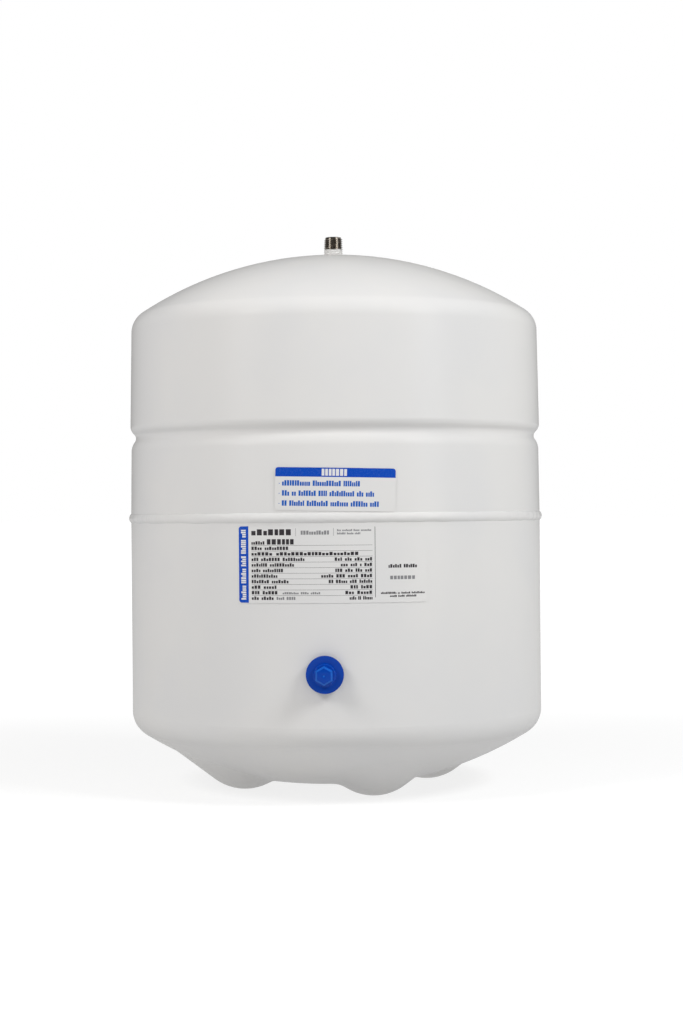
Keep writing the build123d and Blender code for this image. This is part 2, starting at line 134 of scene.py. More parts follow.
class Finish:
    """One surface finish: a material with a Principled shader and what varies over it."""

    def __init__(self, name, **constants):
        self.material = bpy.data.materials.new(name)
        self.material.use_nodes = True
        self.tree = self.material.node_tree
        self.shader = self.tree.nodes["Principled BSDF"]
        self.place = self.node("ShaderNodeTexCoord", {}, {}, "Object")
        for socket, constant in constants.items():
            self.shader.inputs[socket.replace("_", " ")].default_value = constant

    def node(self, kind, settings, sockets, output=0):
        return add_node(self.tree, kind, settings, sockets, output)

    def noise(self, size, detail=2.0):
        """Soft clouds of about one size in metres, from 0 to 1."""
        sockets = {"Vector": self.place, "Scale": 1 / size, "Detail": detail}
        return self.node("ShaderNodeTexNoise", {}, sockets)

    def mix(self, factor, first, second):
        """Colour first where factor is 0, second where it is 1."""
        return self.node(
            "ShaderNodeMix", {"data_type": "RGBA"}, {"Factor": factor, 6: first, 7: second}, 2
        )

    def step(self, factor, low, high):
        """0 below low, 1 above high and smooth between."""
        sockets = {"Value": factor, "From Min": low, "From Max": high}
        return self.node("ShaderNodeMapRange", {"interpolation_type": "SMOOTHSTEP"}, sockets)

    def along(self, axis):
        """The distance from the origin along X, Y or Z."""
        return self.node("ShaderNodeSeparateXYZ", {}, {"Vector": self.place}, axis)

    def feed(self, socket, content):
        self.tree.links.new(content.socket, self.shader.inputs[socket])

    def bump(self, *layers):
        """Each layer is a height from 0 to 1 and the real height in metres of its relief."""
        normal = None
        for relief, depth in layers:
            sockets = {"Height": relief, "Distance": depth, "Strength": 1.0}
            if normal:
                sockets["Normal"] = normal
            normal = self.node("ShaderNodeBump", {}, sockets)
        self.feed("Normal", normal)


def dress(node, finish):
    """Gives a CAD node that stays in view its finish."""
    mesh = nodes[node].data
    mesh.materials.clear()
    mesh.materials.append(finish.material)


def white_paint(name="white_paint", gloss=0.12):
    """The white coat: clouds of two near tones, a few dark specks, and orange peel over waves."""
    paint = Finish(name, Specular_IOR_Level=gloss)
    clouds = paint.noise(tone_size, detail=3.0)
    tone = paint.mix(paint.step(clouds, 0.35, 0.65), paint_white, paint_shade)
    cells = {"Vector": paint.place, "Scale": 1 / speck_spacing}
    grains = paint.node("ShaderNodeTexVoronoi", {"feature": "F1"}, cells)
    speck_edge = speck_radius / speck_spacing
    specks = 1 - paint.step(grains, 0.6 * speck_edge, speck_edge)
    paint.feed("Base Color", paint.mix(specks * speck_strength, tone, speck_color))
    paint.feed("Roughness", paint.noise(sheen_size) * sheen_range + sheen_low)
    paint.bump(
        (paint.noise(peel_size, detail=1.0), peel_depth),
        (paint.noise(wave_size, detail=1.0), wave_depth),
    )
    return paint


def outline(name, points):
    """A new object: edges drawn from point to point in the XZ plane, (distance, height)."""
    bpy.ops.object.select_all(action="DESELECT")
    bpy.ops.mesh.primitive_plane_add(size=MM, location=(points[0][0], 0, points[0][1]))
    piece = bpy.context.object
    piece.name = name
    bpy.ops.object.mode_set(mode="EDIT")
    bpy.ops.mesh.merge(type="CENTER")
    for here, there in zip(points, points[1:]):
        move = (there[0] - here[0], 0, there[1] - here[1])
        bpy.ops.mesh.extrude_vertices_move(TRANSFORM_OT_translate={"value": move})
    bpy.ops.object.mode_set(mode="OBJECT")
    bpy.ops.object.transform_apply(location=True, rotation=True, scale=True)
    return piece


def close_up(piece):
    """Merges doubled points and turns all faces outwards."""
    bpy.context.view_layer.objects.active = piece
    bpy.ops.object.mode_set(mode="EDIT")
    bpy.ops.mesh.select_all(action="SELECT")
    bpy.ops.mesh.remove_doubles(threshold=0.0005 * MM)
    bpy.ops.mesh.select_all(action="SELECT")
    bpy.ops.mesh.normals_make_consistent(inside=False)
    bpy.ops.object.mode_set(mode="OBJECT")


def turned(name, points, steps=96):
    """A turned solid: the closed outline spun round the Z axis."""
    piece = outline(name, points + points[:1])
    bpy.ops.object.mode_set(mode="EDIT")
    bpy.ops.mesh.select_all(action="SELECT")
    bpy.ops.mesh.spin(steps=steps, angle=2 * pi, center=(0, 0, 0), axis=(0, 0, 1))
    bpy.ops.object.mode_set(mode="OBJECT")
    close_up(piece)
    return piece


def smooth(piece, angle):
    """Shades the piece smooth, but for edges sharper than the angle in degrees."""
    bpy.ops.object.select_all(action="DESELECT")
    piece.select_set(True)
    bpy.context.view_layer.objects.active = piece
    bpy.ops.object.shade_smooth_by_angle(angle=radians(angle))


def bend(middle, radius, start, end, steps):
    """Points of an arc in the XZ plane, from one angle in degrees to another."""
    turns = [start + (end - start) * step / steps for step in range(steps + 1)]
    return [
        (middle[0] + radius * cos(radians(turn)), middle[1] + radius * sin(radians(turn)))
        for turn in turns
    ]


def flank_height(depth, radii, slope):
    """Height between the middles of two arcs whose common flank slopes down by depth in all."""
    slope = radians(slope)
    return (depth - radii * (1 - cos(slope))) / tan(slope) + radii * sin(slope)


dome_low = dome_top - dome_radius
knuckle_out = body_radius - shoulder_inset - knuckle_radius
knuckle_up = dome_low + sqrt((dome_radius - knuckle_radius) ** 2 - knuckle_out**2)
knuckle_start = degrees(atan2(knuckle_up - dome_low, knuckle_out))
hole_edge = degrees(acos(shank_hole / dome_radius))
# The outer skin from the top down: dome, knuckle, then the groove's upper lip, floor and return
skin = bend((0, dome_low), dome_radius, hole_edge, knuckle_start, dome_steps)
skin += bend((knuckle_out, knuckle_up), knuckle_radius, knuckle_start, 0, knuckle_steps)[1:]
lip_drop = flank_height(groove_depth, lip_radius + groove_floor_radius, lip_slope)
lip_middle = (body_radius - lip_radius, groove_height + lip_drop)
skin += bend(lip_middle, lip_radius, 0, -lip_slope, lip_steps)
groove_middle = (body_radius - groove_depth + groove_floor_radius, groove_height)
skin += bend(
    groove_middle, groove_floor_radius, 180 - lip_slope, 180 + return_slope, groove_steps
)
return_rise = flank_height(
    groove_depth - neck_inset, return_radius + groove_floor_radius, return_slope
)
return_middle = (body_radius - neck_inset - return_radius, groove_height - return_rise)
skin += bend(return_middle, return_radius, return_slope, 0, return_steps)
skin += [(body_radius, seam_height)]
dome = outline("domed_top", skin)
bpy.ops.object.mode_set(mode="EDIT")
bpy.ops.mesh.select_all(action="SELECT")
bpy.ops.mesh.spin(steps=shell_steps, angle=2 * pi, center=(0, 0, 0), axis=(0, 0, 1))
bpy.ops.object.mode_set(mode="OBJECT")
close_up(dome)
plate = dome.modifiers.new("plate", "SOLIDIFY")
plate.thickness = wall
plate.offset = -1
bpy.ops.object.modifier_apply(modifier="plate")
smooth(dome, 40)

body_paint = white_paint()
dome.data.materials.append(body_paint.material)
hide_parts("upper_shell")
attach(dome, "tank")
dress("lower_shell", body_paint)
dress("connection_weld", body_paint)
dress("valve_weld", body_paint)

# Weld bead round the seam: laid by machine in one pass, painted with the body. Its face is
# gently lumped and its lower toe wanders a little, as the pool froze.
seam_low, seam_high = (corner[2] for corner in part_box("girth_weld"))
bead_steps = 1440
bead_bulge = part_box("girth_weld")[1][0] - body_radius
bead_rows = 12
bead_depth = 0.55 * MM
bead_lump = 0.28 * MM
bead_lump_length = 7.0 * MM
bead_ripple = 0.10 * MM
bead_ripple_length = 1.7 * MM
bead_lump_bias = 0.35
bead_edge_share = 0.15
toe_start, toe_end = 0.4, 1.02
toe_length = 1.6 * bead_lump_length
toe_wander = 0.35 * MM
toe_lift = 0.2 * MM

bead_middle = (seam_low + seam_high) / 2
bead_half = (seam_high - seam_low) / 2
bead_round = (bead_bulge**2 + bead_half**2) / (2 * bead_bulge)
bead_face = []
for row in range(bead_rows + 1):
    turn = (2 * row / bead_rows - 1) * atan2(bead_half, bead_round - bead_bulge)
    distance = body_radius + bead_bulge - bead_round * (1 - cos(turn))
    bead_face.append((distance, bead_middle + bead_round * sin(turn)))
bead = turned(
    "seam_bead",
    [(body_radius - bead_depth, seam_low)] + bead_face + [(body_radius - bead_depth, seam_high)],
    bead_steps,
)
for point in bead.data.vertices:
    proud = hypot(point.co.x, point.co.y) - body_radius
    if proud > -bead_depth / 2:
        flat = Vector((point.co.x, point.co.y, 0))
        lump = noise.noise(point.co / bead_lump_length) - bead_lump_bias
        ripple = noise.noise(flat / bead_ripple_length)
        share = min(1.0, max(0.0, proud) / bead_bulge + bead_edge_share)
        sunk = min(0.0, (lump * bead_lump + ripple * bead_ripple) * share)
        point.co += flat.normalized() * sunk
        below = (bead_middle - point.co.z) / bead_half
        if toe_start < below < toe_end:
            point.co.z += (noise.noise(flat / toe_length) * toe_wander + toe_lift) * below
smooth(bead, 60)
bead.data.materials.append(body_paint.material)
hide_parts("girth_weld")
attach(bead, "tank")

# Water connection: a nipple turned from stainless bar, with a quarter inch taper pipe thread,
# welded into the dome. The spray reached its lowest threads and closed them up a little.
nipple_low, nipple_top = (corner[2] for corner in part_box("water_connection"))
pipe_radius = 6.858 * MM
pipe_pitch = 25.4 / 18 * MM
pipe_depth = 1.05 * MM
pipe_taper = 1 / 32
pipe_flat = 0.15 * MM
pipe_start = dome_top + 0.2 * MM
shank_radius = 6.2 * MM
nipple_chamfer = 1.4 * MM
chamfer_slope = 0.72
nipple_bore = 4.6 * MM
bore_chamfer = 0.5 * MM
flange_radius = 14.0 * MM
flange_thickness = 3.5 * MM
recess_radius = 7.4 * MM
recess_depth = 1.9 * MM
paint_line = dome_top + 5.0 * MM
paint_fill = 0.7
paint_edge_size = 2.2 * MM
paint_edge_wander = 1.6 * MM
paint_edge_soft = 0.25 * MM
steel_color = (0.52, 0.48, 0.43, 1)
steel_dark = (0.28, 0.27, 0.22, 1)
stain_size = 3.5 * MM
stain_strength = 0.6
tool_mark_pitch = 0.05 * MM
tool_mark_depth = 0.008 * MM


def threaded(name, crest, depth, flat, pitch, low, high, shape, steps=120):
    """A threaded solid round Z; shape gives a point's radius from its reach and its height."""
    slope = (pitch - 2 * flat) / 2
    piece = outline(name, [
        (crest - depth, low - 2 * pitch),
        (crest - depth, low - 2 * pitch + flat),
        (crest, low - 2 * pitch + flat + slope),
        (crest, low - 2 * pitch + 2 * flat + slope),
        (crest - depth, low - pitch),
    ])
    # Two turns are to spare at each end, which the cuts below take off
    screw = piece.modifiers.new("thread", "SCREW")
    screw.screw_offset = pitch
    screw.iterations = round((high - low) / pitch) + 4
    screw.steps = screw.render_steps = steps
    bpy.ops.object.modifier_apply(modifier="thread")
    close_up(piece)
    for point in piece.data.vertices:
        reach = hypot(point.co.x, point.co.y)
        wanted = shape(reach, point.co.z) / reach
        point.co.x *= wanted
        point.co.y *= wanted
    bpy.ops.object.mode_set(mode="EDIT")
    for end, outer in ((low, False), (high, True)):
        bpy.ops.mesh.select_all(action="SELECT")
        bpy.ops.mesh.bisect(
            plane_co=(0, 0, end), plane_no=(0, 0, 1), use_fill=True,
            clear_inner=not outer, clear_outer=outer, threshold=0.0001 * MM,
        )
    bpy.ops.object.mode_set(mode="OBJECT")
    close_up(piece)
    return piece


def combine(piece, other, operation):
    """Joins other to the piece, or cuts it away from it."""
    change = piece.modifiers.new("combine", "BOOLEAN")
    change.operation = operation
    change.solver = "EXACT"
    change.object = other
    bpy.ops.object.select_all(action="DESELECT")
    bpy.context.view_layer.objects.active = piece
    bpy.ops.object.modifier_apply(modifier="combine")
    bpy.data.objects.remove(other)


def pipe_shape(reach, height):
    """Tapers the thread, closes it up with paint near the dome and chamfers its end."""
    crest = pipe_radius - max(0.0, height - dome_top) * pipe_taper
    painted = min(1.0, max(0.0, (height - paint_line) / pipe_pitch + 0.5))
    depth = (pipe_radius - reach) * (paint_fill + (1 - paint_fill) * painted)
    end = pipe_radius - nipple_chamfer + (nipple_top - height) * chamfer_slope
    return max(nipple_bore, min(crest - depth, end))


nipple = threaded(
    "threaded_nipple", pipe_radius, pipe_depth, pipe_flat, pipe_pitch,
    pipe_start, nipple_top, pipe_shape,
)
flange = turned("flange", [
    (0, nipple_low),
    (flange_radius, nipple_low),
    (flange_radius, nipple_low + flange_thickness),
    (shank_radius, nipple_low + flange_thickness),
    (shank_radius, dome_top + pipe_pitch),
    (0, dome_top + pipe_pitch),
])
combine(nipple, flange, "UNION")
bore = turned("bore", [
    (0, nipple_low - MM),
    (recess_radius, nipple_low - MM),
    (recess_radius, nipple_low + recess_depth),
    (nipple_bore, nipple_low + recess_depth),
    (nipple_bore, nipple_top - bore_chamfer),
    (nipple_bore + 2 * bore_chamfer, nipple_top + bore_chamfer),
    (0, nipple_top + bore_chamfer),
])
combine(nipple, bore, "DIFFERENCE")
smooth(nipple, 25)

steel = Finish("turned_steel")
height = steel.along("Z")
edge = height + (steel.noise(paint_edge_size, detail=3.0) - 0.5) * paint_edge_wander
bare = steel.step(edge, paint_line - paint_edge_soft, paint_line + paint_edge_soft)
marks = {"W": height * (1 / tool_mark_pitch), "Detail": 2.0}
tool_marks = steel.node("ShaderNodeTexNoise", {"noise_dimensions": "1D"}, marks)
stain = steel.step(steel.noise(stain_size, detail=4.0), 0.4, 0.75)
metal_color = steel.mix(stain * stain_strength, steel_color, steel_dark)
steel.feed("Base Color", steel.mix(bare, paint_white, metal_color))
steel.feed("Metallic", bare)
steel.feed("Roughness", 0.32 - bare * 0.18 + tool_marks * bare * 0.08)
steel.bump((tool_marks * bare, tool_mark_depth), (steel.noise(0.8 * MM), 0.01 * MM))
nipple.data.materials.append(steel.material)
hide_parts("water_connection")
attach(nipple, "tank")

# Air valve: a brass tyre valve stem with its collar welded to the bowl, threaded outside for
# the cap. Its core of brass, steel and rubber shows only with the cap off.
valve_place = Vector((0, -body_radius, 88.5 * MM))
stem_radius = 3.85 * MM
stem_pitch = 25.4 / 32 * MM
stem_depth = 0.45 * MM
stem_flat = 0.08 * MM
stem_length = 13.2 * MM
stem_thread = 7 * stem_pitch
stem_inside = 8.0 * MM
stem_shank = 4.3 * MM
stem_chamfer = 0.5 * MM
collar_radius = 7.2 * MM
collar_height = 1.8 * MM
collar_bevel = 0.36 * MM
core_bore = 2.65 * MM
air_bore = 2.1 * MM
seat_high = 6.6 * MM
seat_low = 5.4 * MM
brass_color = (0.74, 0.57, 0.30, 1)
brass_dark = (0.52, 0.38, 0.18, 1)
pin_bright = (0.62, 0.61, 0.59, 1)
pin_dull = (0.50, 0.49, 0.47, 1)


def lay_along_valve(piece):
    """Turns a piece made upright on the origin so that it points out of the bowl at the valve."""
    bpy.ops.object.select_all(action="DESELECT")
    piece.select_set(True)
    bpy.context.view_layer.objects.active = piece
    piece.rotation_euler = (radians(90), 0, 0)
    piece.location = valve_place
    bpy.ops.object.transform_apply(location=True, rotation=True, scale=True)


def stem_shape(reach, height):
    """Runs the stem's thread out below its seven turns and chamfers its mouth."""
    run_out = min(1.0, max(0.0, (height - stem_length + stem_thread) / stem_pitch))
    end = stem_radius - stem_chamfer + (stem_length - height)
    return min(stem_radius - (stem_radius - reach) * run_out, end)


stem = threaded(
    "threaded_stem", stem_radius, stem_depth, stem_flat, stem_pitch,
    collar_height / 2, stem_length, stem_shape,
)
shank = turned("shank", [
    (0, -stem_inside),
    (stem_shank, -stem_inside),
    (stem_shank, 0),
    (collar_radius, 0),
    (collar_radius, collar_height - collar_bevel),
    (collar_radius - collar_bevel, collar_height),
    (0, collar_height),
])
combine(stem, shank, "UNION")
air_way = turned("air_way", [
    (0, -stem_inside - MM),
    (air_bore, -stem_inside - MM),
    (air_bore, seat_low),
    (core_bore, seat_high),
    (core_bore, stem_length + MM),
    (0, stem_length + MM),
])
combine(stem, air_way, "DIFFERENCE")
lay_along_valve(stem)
smooth(stem, 25)

brass = Finish("turned_brass", Metallic=1.0)
tarnish = brass.step(brass.noise(4 * MM, detail=4.0), 0.45, 0.8)
brass.feed("Base Color", brass.mix(tarnish * 0.7, brass_color, brass_dark))
brass.feed("Roughness", brass.noise(1.5 * MM) * 0.15 + 0.2)
brass.bump((brass.noise(0.25 * MM), 0.004 * MM))
stem.data.materials.append(brass.material)
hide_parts("valve_stem")
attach(stem, "tank")
dress("core_barrel", brass)
dress("core_cup", brass)

pin_steel = Finish("drawn_steel", Metallic=1.0)
pin_cloud = pin_steel.noise(1.0 * MM, detail=3.0)
pin_steel.feed("Base Color", pin_steel.mix(pin_cloud, pin_bright, pin_dull))
pin_steel.feed("Roughness", pin_steel.noise(0.6 * MM) * 0.2 + 0.2)
dress("core_pin", pin_steel)

# Return spring of the valve core, coiled from drawn wire between the barrel's floor and the
# pin's head. It shortens as the pin is pressed in.
spring_wire = 0.15 * MM
spring_coil = 0.93 * MM
spring_turns = 6
wire_steps, coil_steps = 12, 32

spring_low, spring_high = sorted(-corner[1] - body_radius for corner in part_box("core_spring"))
wire = bend((spring_coil, spring_low + spring_wire), spring_wire, 0, 360, wire_steps)
spring = outline("return_spring", wire)
coil = spring.modifiers.new("coil", "SCREW")
coil.screw_offset = (spring_high - spring_low - 2 * spring_wire) / spring_turns
coil.iterations = spring_turns
coil.steps = coil.render_steps = coil_steps
bpy.ops.object.modifier_apply(modifier="coil")
close_up(spring)
bpy.ops.object.mode_set(mode="EDIT")
bpy.ops.mesh.select_all(action="SELECT")
bpy.ops.mesh.fill_holes(sides=0)
bpy.ops.object.mode_set(mode="OBJECT")
close_up(spring)
lay_along_valve(spring)
smooth(spring, 50)
spring.data.materials.append(pin_steel.material)
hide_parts("core_spring")
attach(spring, "tank")
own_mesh(spring)

# Seals of the valve and the nipple: rings and a disc of moulded black rubber, and a red plastic
# ring on the core's barrel. They are squeezed between the metal parts and keep air and water in.
seal_black = (0.02, 0.02, 0.02, 1)
seal_bloom = (0.05, 0.05, 0.05, 1)
seal_grain = 0.2 * MM
barrel_red = (0.62, 0.10, 0.07, 1)
barrel_red_dark = (0.50, 0.07, 0.05, 1)


def rubber(name, dark, light, grain):
    """Moulded rubber: nearly black, with a soft bloom and a fine matt grain."""
    finish = Finish(name, Specular_IOR_Level=0.35)
    bloom = finish.step(finish.noise(20 * grain, detail=4.0), 0.35, 0.8)
    finish.feed("Base Color", finish.mix(bloom, dark, light))
    finish.feed("Roughness", finish.noise(6 * grain) * 0.2 + 0.5)
    finish.bump((finish.noise(grain), 0.05 * grain))
    return finish


seal_rubber = rubber("seal_rubber", seal_black, seal_bloom, seal_grain)
dress("core_seal", seal_rubber)
dress("cap_o_ring", seal_rubber)
dress("connection_o_ring", seal_rubber)
seat_seal = Finish("seat_seal", Roughness=0.45)
seat_cloud = seat_seal.noise(0.8 * MM)
seat_seal.feed("Base Color", seat_seal.mix(seat_cloud, barrel_red, barrel_red_dark))
dress("core_barrel_seal", seat_seal)

# Screw cap: moulded in blue plastic, a disc that hides the valve's foot, a round boss and a
# hexagon for a key, whose chamfer carries a painted highlight in lighter blue. The mould softens
# all edges, and its gate left a small dimple.
cap_standoff = 2.6 * MM
cap_disc_radius = 12.25 * MM
cap_disc_thickness = 2.2 * MM
cap_disc_rise = 0.6 * MM
cap_dish = 0.5 * MM
cap_boss_radius = 7.35 * MM
cap_boss_height = 2.6 * MM
cap_boss_round = 1.2 * MM
cap_end = 14.9 * MM
cap_bore = 3.95 * MM
cap_recess_radius = 5.95 * MM
cap_recess_end = 3.4 * MM
cap_wall = 1.2 * MM
hexagon_across = 11.0 * MM
hexagon_chamfer = 1.15 * MM
gate_radius = 0.9 * MM
gate_depth = 0.18 * MM
edge_round = 0.28 * MM
cap_blue = (0.0, 0.050, 0.38, 1)
cap_blue_light = (0.0, 0.062, 0.44, 1)
# Lighter blue of the painted highlight on the hexagon's chamfer
cap_highlight_blue = (0.012, 0.135, 0.60, 1)

disc_front = cap_standoff + cap_disc_thickness
boss_front = disc_front + cap_disc_rise + cap_boss_height
shoulder = [
    (cap_boss_radius - cap_boss_round * (1 - cos(radians(turn))),
     boss_front - cap_boss_round * (1 - sin(radians(turn))))
    for turn in range(0, 91, 15)
]
cap = turned("screw_cap", [
    (0, cap_standoff),
    (cap_disc_radius, cap_standoff),
    (cap_disc_radius, disc_front),
    (cap_boss_radius + cap_boss_round, disc_front - cap_dish),
    (cap_boss_radius, disc_front - cap_dish),
    *shoulder,
    (0, boss_front),
])
bpy.ops.object.select_all(action="DESELECT")
bpy.ops.mesh.primitive_cylinder_add(
    vertices=6, radius=hexagon_across / sqrt(3), depth=cap_end - disc_front,
    location=(0, 0, (cap_end + disc_front) / 2),
)
hexagon = bpy.context.object
bpy.ops.object.transform_apply(location=True, rotation=True, scale=True)
bpy.ops.object.mode_set(mode="EDIT")
bpy.ops.mesh.select_all(action="DESELECT")
bpy.ops.object.mode_set(mode="OBJECT")
for edge in hexagon.data.edges:
    edge.select = all(hexagon.data.vertices[end].co.z > cap_end - MM / 2 for end in edge.vertices)
bpy.ops.object.mode_set(mode="EDIT")
bpy.ops.mesh.select_mode(type="EDGE")
bpy.ops.mesh.bevel(offset=hexagon_chamfer, offset_type="OFFSET", segments=1)
bpy.ops.mesh.select_mode(type="VERT")
bpy.ops.object.mode_set(mode="OBJECT")
combine(cap, hexagon, "UNION")
gate = turned("gate", [
    (0, cap_end - gate_depth),
    (0.6 * gate_radius, cap_end - gate_depth),
    (gate_radius, cap_end + gate_depth),
    (0, cap_end + gate_depth),
], 32)
combine(cap, gate, "DIFFERENCE")
softened = cap.modifiers.new("edges", "BEVEL")
softened.width = edge_round
softened.segments = 3
softened.limit_method = "ANGLE"
softened.angle_limit = radians(24)
softened.use_clamp_overlap = True
bpy.context.view_layer.objects.active = cap
bpy.ops.object.modifier_apply(modifier="edges")
hollow = turned("hollow", [
    (0, cap_standoff - MM),
    (cap_recess_radius, cap_standoff - MM),
    (cap_recess_radius, cap_recess_end),
    (cap_bore, cap_recess_end),
    (cap_bore, cap_end - cap_wall),
    (0, cap_end - cap_wall),
])
combine(cap, hollow, "DIFFERENCE")
lay_along_valve(cap)
smooth(cap, 35)

blue = Finish("cap_plastic", Specular_IOR_Level=0.22)
# Distance from the hexagon's face, below zero on the cap; the painted highlight is on its chamfer
# alone
along = blue.along("Y") * -1 - (body_radius + cap_end)
chamfer_highlight = blue.step(along, -1.1 * hexagon_chamfer, -0.9 * hexagon_chamfer) * (along < -0.04 * MM)
moulded = blue.mix(blue.noise(5 * MM, detail=3.0), cap_blue, cap_blue_light)
# Painted highlight: the chamfer is mixed towards lighter blue, a little patchy
blue.feed("Base Color", blue.mix(chamfer_highlight * (0.6 + 0.4 * blue.noise(1.5 * MM)), moulded, cap_highlight_blue))
blue.feed("Roughness", blue.noise(3 * MM, detail=3.0) * 0.12 + 0.14)
blue.bump((blue.noise(0.5 * MM), 0.006 * MM), (blue.noise(4 * MM), 0.02 * MM))
cap.data.materials.append(blue.material)
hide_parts("valve_cap")
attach(cap, "cap")

# Two labels of clear film, stuck on by hand: a small one over the seam, a little askew, and a
# large one under it with a table. Both are printed in blue, black and white, in plain blocks.
film_lift = 0.25 * MM
film_radius = body_radius + film_lift
ink_thickness = 0.02 * MM
ink_patch = 0.9 * MM
ink_fade = 0.04
strip_width = 3.0
corner_radius = 1.8
label_blue = (0.0, 0.068, 0.49, 1)
text_blue = (0.005, 0.11, 0.50, 1)
ink_black = (0.035, 0.03, 0.035, 1)
ink_grey = (0.25, 0.25, 0.26, 1)
ink_white = (0.80, 0.80, 0.80, 1)
letter_widths = (0.5, 0.6, 0.6, 0.7)
wide_letter = 0.65
letter_rises = (0.74, 0.74, 1.0)
letter_fill = 0.76
word_gap = 0.55
letters = random.Random(21)


class Print:
    """One colour's print on one label, laid out flat in millimetres from the label's middle."""

    def __init__(self, name, turn, middle, tilt, color, lift=0.0):
        self.turn, self.middle, self.tilt, self.lift, self.color = turn, middle, tilt, lift, color
        bpy.ops.object.select_all(action="DESELECT")
        bpy.ops.mesh.primitive_plane_add(size=MM, rotation=(radians(90), 0, 0))
        self.piece = bpy.context.object
        self.piece.name = name
        bpy.ops.object.transform_apply(rotation=True)
        bpy.ops.object.mode_set(mode="EDIT")
        bpy.ops.mesh.select_all(action="SELECT")
        bpy.ops.mesh.delete(type="VERT")

    def block(self, left, low, right, high):
        """A filled field between two corners, in strips that can follow the round body."""
        strips = max(1, round((right - left) / strip_width))
        width = (right - left) / strips
        for strip in range(strips):
            bpy.ops.mesh.select_all(action="DESELECT")
            middle = ((left + (strip + 0.5) * width) * MM, 0, (low + high) / 2 * MM)
            bpy.ops.mesh.primitive_plane_add(size=MM, location=middle, rotation=(radians(90), 0, 0))
            bpy.ops.transform.resize(value=(width, 1, high - low), center_override=middle)

    def round_corners(self, corners):
        """Rounds the field's corners at these places."""
        bpy.ops.mesh.select_all(action="DESELECT")
        bpy.ops.object.mode_set(mode="OBJECT")
        for point in self.piece.data.vertices:
            gaps = [hypot(point.co.x - across * MM, point.co.z - up * MM) for across, up in corners]
            point.select = min(gaps) < 0.01 * MM
        bpy.ops.object.mode_set(mode="EDIT")
        bpy.ops.mesh.bevel(offset=corner_radius * MM, segments=6, affect="VERTICES")

    def line(self, left, right, base, tall, words, capitals=False, upright=False):
        """A line of print between two ends; words holds each word's count of letters."""
        widths = [[letters.choice(letter_widths) for _ in range(word)] for word in words]
        scale = (right - left) / (sum(map(sum, widths)) + word_gap * (len(words) - 1))
        place = left
        for word in widths:
            for width in word:
                rise = tall
                if not capitals and width <= wide_letter:
                    rise *= letters.choice(letter_rises)
                end = place + letter_fill * width * scale
                if upright:
                    self.block(-base - rise, place, -base, end)
                else:
                    self.block(place, base, end, base + rise)
                place += width * scale
            place += word_gap * scale

    def finish(self):
        """Wraps the print round the body and gives it a thickness."""
        bpy.ops.mesh.select_all(action="SELECT")
        bpy.ops.mesh.remove_doubles(threshold=0.0005 * MM)
        bpy.ops.object.mode_set(mode="OBJECT")
        slant = Matrix.Rotation(-radians(self.tilt), 3, "Y")
        face = Matrix.Rotation(radians(self.turn), 3, "Z")
        radius = film_radius + self.lift
        for point in self.piece.data.vertices:
            flat = slant @ point.co
            point.co = face @ Vector((flat.x, -sqrt(radius**2 - flat.x**2), flat.z + self.middle))
        sheet = self.piece.modifiers.new("sheet", "SOLIDIFY")
        sheet.thickness = ink_thickness
        sheet.offset = 1
        bpy.ops.object.modifier_apply(modifier="sheet")
        ink = Finish(self.piece.name + "_ink", Specular_IOR_Level=0.2, Roughness=0.35)
        thin = tuple(
            (1 - ink_fade) * part + ink_fade * white for part, white in zip(self.color, ink_white)
        )
        patches = ink.step(ink.noise(ink_patch, detail=3.0), 0.45, 0.8)
        ink.feed("Base Color", ink.mix(patches, self.color, thin))
        ink.bump((ink.noise(0.4 * MM), 0.002 * MM))
        self.piece.data.materials.append(ink.material)
        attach(self.piece, "tank")


upper_place = (2.95, 207.6 * MM, -1.2)
upper_blue = Print("upper_label_band", *upper_place, label_blue)
upper_blue.block(-38.9, 7.9, 38.9, 13.9)
upper_blue.round_corners(((-38.9, 13.9), (38.9, 13.9)))
upper_blue.finish()
upper_words = Print("upper_label_words", *upper_place, text_blue)
for base, end, words in ((2.0, 16.2, (12, 12, 8)), (-4.5, 25.3, (3, 2, 7, 4, 11, 3, 4)),
                         (-11.0, 28.5, (2, 7, 9, 8, 7, 4))):
    upper_words.block(-36.5, base + 1.2, -36.0, base + 1.7)
    upper_words.line(-34.4, end, base, 3.5, words)
upper_words.finish()
upper_white = Print("upper_label_heading", *upper_place, ink_white, ink_thickness)
upper_white.line(-8.9, 7.9, 8.7, 4.4, (7,), capitals=True)
upper_white.finish()

lower_place = (2.15, 159.3 * MM, 0.0)
lower_blue = Print("lower_label_strip", *lower_place, label_blue)
lower_blue.block(-61.2, -24.8, -54.8, 24.8)
lower_blue.round_corners(((-61.2, -24.8), (-61.2, 24.8)))
lower_blue.finish()
lower_white = Print("lower_label_title", *lower_place, ink_white, ink_thickness)
lower_white.line(-22.8, 22.8, 56.5, 3.2, (7, 7, 5, 7, 4), upright=True)
lower_white.finish()

# The table: a rule over each row of print. Each row holds where its words end and their counts
# of letters, then where the reading at its right end starts, and its counts
rule_left, rule_right = -52.8, 25.7
rule_top, rule_pitch = 12.3, 3.59
rule_half = 0.08
row_lift, row_tall = 0.7, 2.2
table = (
    (-28.3, (4, 9), 0, ()),
    (17.1, (6, 22), 0, ()),
    (-17.9, (3, 7, 9), 1.3, (3, 3, 3, 3)),
    (-24.7, (7, 10), 5.2, (3, 3, 1, 3)),
    (-31.8, (4, 9), 1.6, (3, 3, 3, 3)),
    (-35.6, (11,), -7.5, (5, 3, 4, 4)),
    (-28.3, (7, 7), -2.7, (2, 5, 3, 6)),
    (-36.2, (3, 5), 11.3, (3, 4)),
    (-35.5, (3, 5), 8.0, (3, 5)),
    (-38.1, (3, 5), 10.7, (4, 2, 6)),
)
lower_black = Print("lower_label_print", *lower_place, ink_black)
